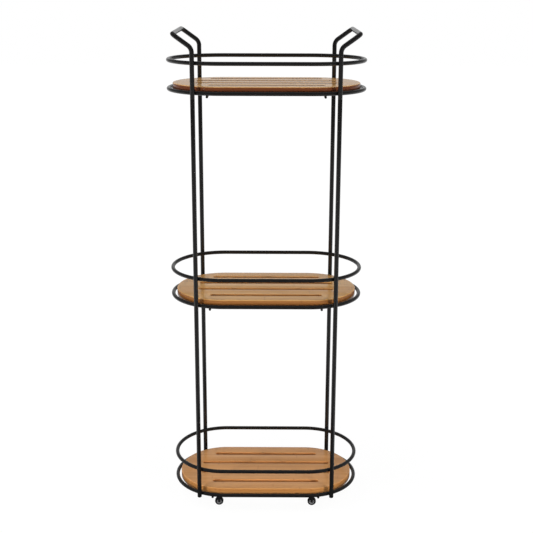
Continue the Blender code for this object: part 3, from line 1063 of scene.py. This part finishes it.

# How bright the floor glows in the cart's reflections, a painted reflection that rises towards the
# back. Only a share of it is left in a lane of painted shade that runs back from in front of the cart,
# and whose sides and front end fade out.
SHEEN_Y = (-1.6, 0.2)
SHEEN = (0.25, 0.68)
LANE = 0.06
LANE_X = (0.22, 0.42)
LANE_Y = (-1.5, -1.1)

# The world's brightness against a direction's Y, front to back, and its Z, level to overhead.
AROUND = (
    (-1.0, 0.03),
    (-0.55, 0.05),
    (-0.2, 0.12),
    (0.1, 0.18),
    (0.7, 0.28),
    (0.88, 0.5),
    (0.95, 0.74),
    (1.0, 0.70),
)
ABOVE = ((0.4, 0.0), (1.0, 0.12))
SKY_TONE = rgb(0.8, 0.8, 0.8)


def painted_reflection_strength(paper):
    """How bright the floor glows in the cart's reflections, a painted reflection, with a lane of
    painted shade under the cart.
    """
    x, y, _ = paper.split(paper.place)
    beside = paper.ranged(paper.math("ABSOLUTE", x), *LANE_X, 0.0, 1.0)
    beyond = paper.ranged(y, *LANE_Y, 1.0, 0.0)
    # The lane is painted shade: the cart's shade on the floor as seen in reflections.
    lane = paper.math("MULTIPLY_ADD", paper.math("MAXIMUM", beside, beyond), 1.0 - LANE, LANE)
    return paper.math("MULTIPLY", paper.ranged(y, *SHEEN_Y, *SHEEN), lane)


def make_floor():
    """White paper to the eye, faintly shaded under the cart, and in reflections a painted glow of its
    own.
    """
    signs = ((-1, -1), (1, -1), (1, 1), (-1, 1))
    mesh = bpy.data.meshes.new("studio_floor")
    mesh.from_pydata([(x * FLOOR_HALF, y * FLOOR_HALF, 0) for x, y in signs], [], [(0, 1, 2, 3)])
    floor = placed("studio_floor", mesh)
    paper = Finish("white_paper", Base_Color=PAPER_TONE, Roughness=0.9)
    away = paper.add("ShaderNodeVectorMath", {0: paper.place}, operation="LENGTH").outputs["Value"]
    whiteness = paper.ranged(away, SHADED_TO, WHITE_FROM, SHADED, 1.0, smooth=True)
    path = paper.add("ShaderNodeLightPath").outputs
    glow = paper.add("ShaderNodeEmission", {"Color": WHITE, "Strength": PAPER_GLOW})
    # For glossy rays the floor is a painted reflection glow, with painted shade in the lane under the
    # cart.
    painted_reflection_glow = paper.add("ShaderNodeEmission", {"Color": WHITE, "Strength": painted_reflection_strength(paper)})
    lit = paper.shader_mix(path["Is Glossy Ray"], paper.shader.outputs["BSDF"], painted_reflection_glow.outputs[0])
    seen = paper.math("MULTIPLY", path["Is Camera Ray"], whiteness)
    paper.surface("Material Output", paper.shader_mix(seen, lit, glow.outputs[0]))
    mesh.materials.append(paper.material)


def make_world():
    """White to the eye; as light, bright behind, dim overhead and nearly dark in front."""
    world = bpy.data.worlds.new("studio")
    bpy.context.scene.world = world
    world.use_nodes = True
    sky = Nodes(world.node_tree)
    backdrop = sky.tree.nodes["Background"]
    backdrop.inputs["Color"].default_value = WHITE
    towards = sky.split(sky.add("ShaderNodeTexCoord").outputs["Generated"])
    level = sky.math("ADD", sky.curve(towards["Y"], AROUND), sky.curve(towards["Z"], ABOVE))
    light = sky.add("ShaderNodeBackground", {"Color": SKY_TONE, "Strength": level})
    seen = sky.add("ShaderNodeLightPath").outputs["Is Camera Ray"]
    sky.surface("World Output", sky.shader_mix(seen, light.outputs[0], backdrop.outputs[0]))


# ---------------------------------------------------------------- lights and camera


# The softboxes hang over the front, and the strips stand in front, one of each on either side.
SOFTBOX_PLACE = (2.3, -0.5, 4.2)
SOFTBOX_TARGET = (0.0, 0.0, 0.55)
SOFTBOX_SIZE = (2.8, 2.8)
SOFTBOX_POWER = {"left": 140.0, "right": 95.0}
STRIP_PLACE = (1.93, -2.31, 0.65)
STRIP_TARGET = (0.0, 0.0, 0.5)
STRIP_SIZE = (0.25, 0.9)
STRIP_POWER = {"left": 78.0, "right": 72.0}

CAMERA_PLACE = (0.0105, -2.2901, 1.2513)
CAMERA_PITCH = math.radians(-16.283)
CAMERA_YAW = math.radians(0.241)
CAMERA_ROLL = math.radians(0.13)
CAMERA_LENS = 67.71
CAMERA_SENSOR = 36.0
CAMERA_CLIP = (0.05, 60.0)


def area_light(name, place, target, size, power):
    """A rectangle of light that faces a target, left out of reflections."""
    data = bpy.data.lights.new(name, "AREA")
    data.shape = "RECTANGLE"
    data.size, data.size_y = size
    data.energy = power
    lamp = placed(name, data)
    lamp.location = place
    lamp.rotation_mode = "QUATERNION"
    lamp.rotation_quaternion = (Vector(target) - Vector(place)).to_track_quat("-Z", "Y")
    lamp.visible_glossy = False


def make_lights():
    for kind, (x, y, z), target, size, power in (
        ("softbox", SOFTBOX_PLACE, SOFTBOX_TARGET, SOFTBOX_SIZE, SOFTBOX_POWER),
        ("strip", STRIP_PLACE, STRIP_TARGET, STRIP_SIZE, STRIP_POWER),
    ):
        area_light(f"left_{kind}", (-x, y, z), target, size, power["left"])
        area_light(f"right_{kind}", (x, y, z), target, size, power["right"])


def make_camera():
    data = bpy.data.cameras.new("camera")
    data.sensor_width = CAMERA_SENSOR
    data.lens = CAMERA_LENS
    data.clip_start, data.clip_end = CAMERA_CLIP
    camera = placed("camera", data)
    turn = Matrix.Rotation(CAMERA_YAW, 4, "Z") @ Matrix.Rotation(QUARTER + CAMERA_PITCH, 4, "X")
    roll = Matrix.Rotation(CAMERA_ROLL, 4, "Z")
    camera.matrix_world = Matrix.Translation(CAMERA_PLACE) @ turn @ roll
    bpy.context.scene.camera = camera


# ---------------------------------------------------------------- the cart


# Each coat's and plastic's base and lighter tones, and the limits of its roughness.
COAT_LOOK = (rgb(0.0055, 0.0052, 0.0052), rgb(0.02, 0.0195, 0.019), (0.11, 0.19))
CASTER_LOOK = (rgb(0.006, 0.006, 0.0065), rgb(0.02, 0.02, 0.02), (0.30, 0.42))
PLUG_LOOK = (rgb(0.012, 0.012, 0.012), rgb(0.022, 0.022, 0.022), (0.42, 0.56))
WHEEL_LOOK = (rgb(0.006, 0.006, 0.0065), rgb(0.012, 0.012, 0.013), (0.34, 0.48))
DISC_LOOK = (rgb(0.14, 0.14, 0.145), rgb(0.19, 0.19, 0.20), (0.30, 0.44))

# Each board's own tint, a painted sheen on the top board, the painted shade of its slots' sides and of
# its rim, deepest on the top board, and the seed of its strips.
# The top board's paler, bluer tint is a painted sheen.
TINTS_AND_PAINTED_SHEEN = {
    "top": rgb(0.97, 1.04, 1.14),
    "middle": rgb(0.93, 0.97, 0.97),
    "bottom": rgb(0.91, 0.86, 0.95),
}
# Painted shade on the slots' sides, deepest on the top board.
PAINTED_SLOT_SHADE = {
    "top": rgb(0.36, 0.26, 0.23),
    "middle": rgb(0.80, 0.64, 0.55),
    "bottom": rgb(0.98, 0.78, 0.78),
}
# Painted shade on each rim, deepest on the top board.
PAINTED_RIM_SHADE = {
    "top": rgb(0.19, 0.10, 0.10),
    "middle": rgb(0.38, 0.28, 0.21),
    "bottom": rgb(0.68, 0.58, 0.52),
}
SEEDS = {"top": 3.1, "middle": 41.7, "bottom": 77.2}

make_camera()
bpy.context.scene.view_settings.view_transform = "Standard"
COAT = satin_coat("satin_black_coat", *COAT_LOOK)
CASTER_METAL = satin_coat("caster_black", *CASTER_LOOK)
STEEL = plated_steel("zinc_plated")
PLUG = moulded_plastic("plug_black", *PLUG_LOOK)
WHEEL = moulded_plastic("wheel_black", *WHEEL_LOOK)
DISC = moulded_plastic("wheel_disc", *DISC_LOOK)
WOODS = {
    tier: (
        lacquered_bamboo(f"lacquered_bamboo_{tier}", TINTS_AND_PAINTED_SHEEN[tier], PAINTED_SLOT_SHADE[tier], SEEDS[tier]),
        lacquered_bamboo(f"lacquered_bamboo_{tier}_rim", TINTS_AND_PAINTED_SHEEN[tier], PAINTED_RIM_SHADE[tier], SEEDS[tier]),
    )
    for tier in TIERS
}
make_rings(COAT)
make_cross_rods(COAT)
make_posts(COAT)
make_handles(COAT)
make_ring_welds(COAT)
make_rod_welds(COAT)
make_socket_welds(COAT)
make_boards(WOODS)
make_plugs(PLUG)
make_spigots(STEEL)
make_sockets(COAT)
make_king_pins(STEEL)
make_forks(CASTER_METAL)
make_axles(CASTER_METAL)
make_wheels(WHEEL, DISC)
make_floor()
make_world()
make_lights()
